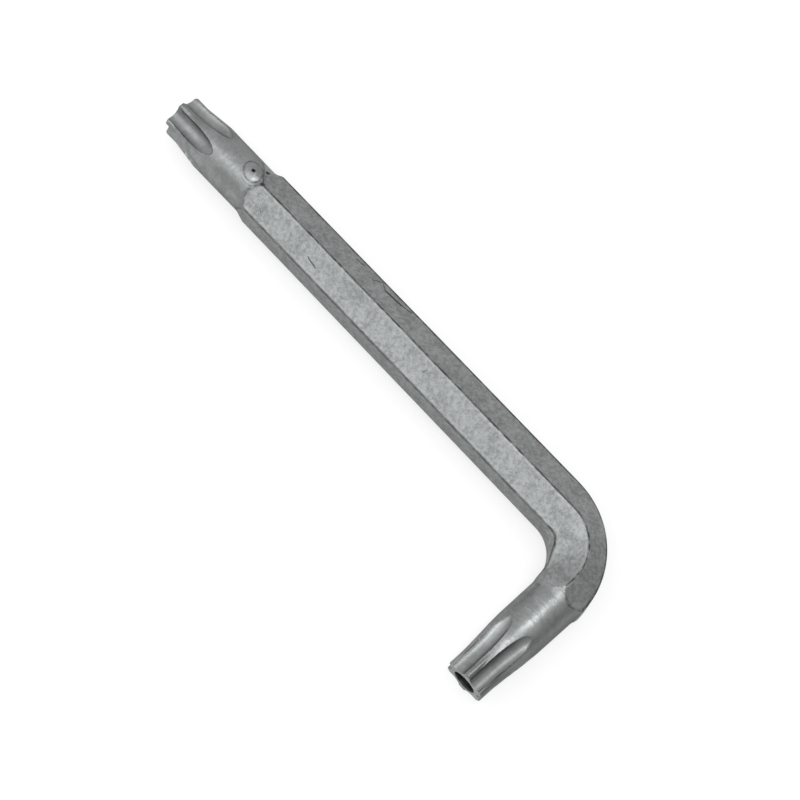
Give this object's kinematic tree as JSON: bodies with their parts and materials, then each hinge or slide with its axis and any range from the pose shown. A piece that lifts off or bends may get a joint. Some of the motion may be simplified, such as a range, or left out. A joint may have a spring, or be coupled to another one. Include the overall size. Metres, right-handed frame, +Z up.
{
  "type": "star key",
  "caption": "L-shaped star key: hexagon bar bent square, with a fluted star drive on a round neck at each end and a pin hole in the tip of the short end.",
  "frame": {"origin": "under the middle of the key's box, on the surface that the key lies on", "axes": "+Y along the long arm to its star tip, -X along the short arm to its star tip, +Z up from the surface that the key lies on"},
  "size_m": [0.0248, 0.075, 0.0072],
  "materials": {
    "drawn_bar": "satin grey plating on drawn hexagon bar, faintly mottled, with dark lines along the corners",
    "formed_end": "satin grey plating on the formed neck and star, smoother and a little brighter than the bar"
  },
  "bodies": {
    "root": {"hex_shank": "drawn_bar", "elbow": "drawn_bar", "long_star_end": "formed_end", "short_star_end": "formed_end"}
  },
  "joints": []
}
